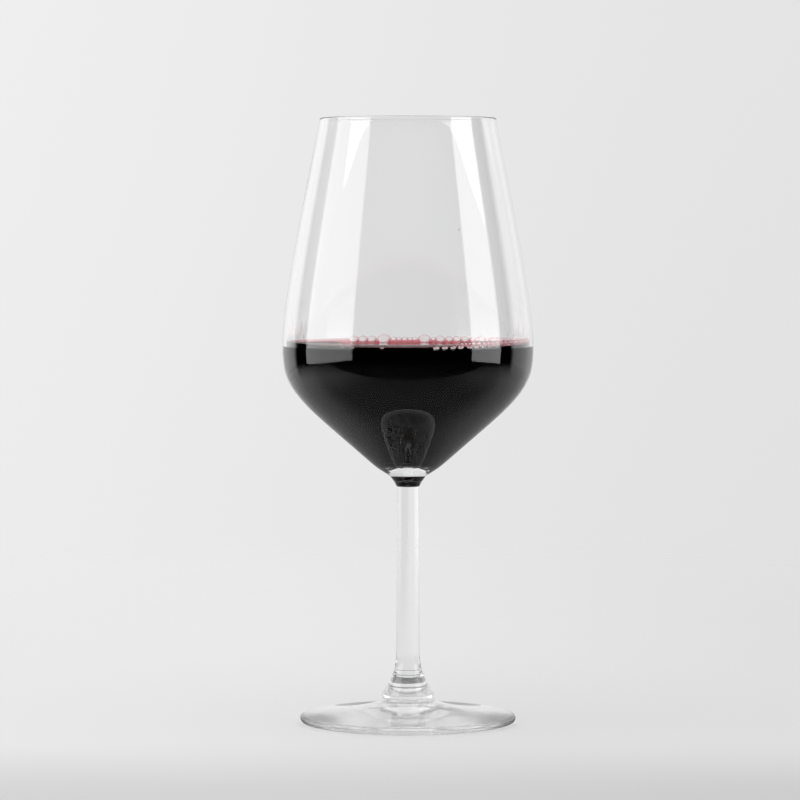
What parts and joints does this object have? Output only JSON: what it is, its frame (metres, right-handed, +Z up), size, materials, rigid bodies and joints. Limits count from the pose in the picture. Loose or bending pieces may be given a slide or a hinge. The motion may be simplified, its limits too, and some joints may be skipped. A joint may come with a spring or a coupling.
{
  "type": "wine glass",
  "caption": "Stemmed red-wine glass with a wide belly, a conical base and a narrow rim, on a drawn stem and a pressed round foot, holding a measure of dark red wine",
  "frame": {"origin": "the middle of the foot's contact ring, on the plane of the table", "axes": "+Z runs up the glass's axis of revolution, from the foot to the rim; +X and +Y are any two level directions, because the glass is round"},
  "size_m": [0.0914, 0.0914, 0.22],
  "materials": {
    "bowl_glass": "clear blown crystalline glass, fire-polished",
    "stem_glass": "clear drawn glass, fire-polished",
    "foot_glass": "clear pressed glass, fire-polished",
    "red_wine": "still dark red wine, nearly black in depth"
  },
  "bodies": {
    "root": {"bowl": "bowl_glass", "stem": "stem_glass", "foot": "foot_glass", "wine": "red_wine"}
  },
  "joints": []
}
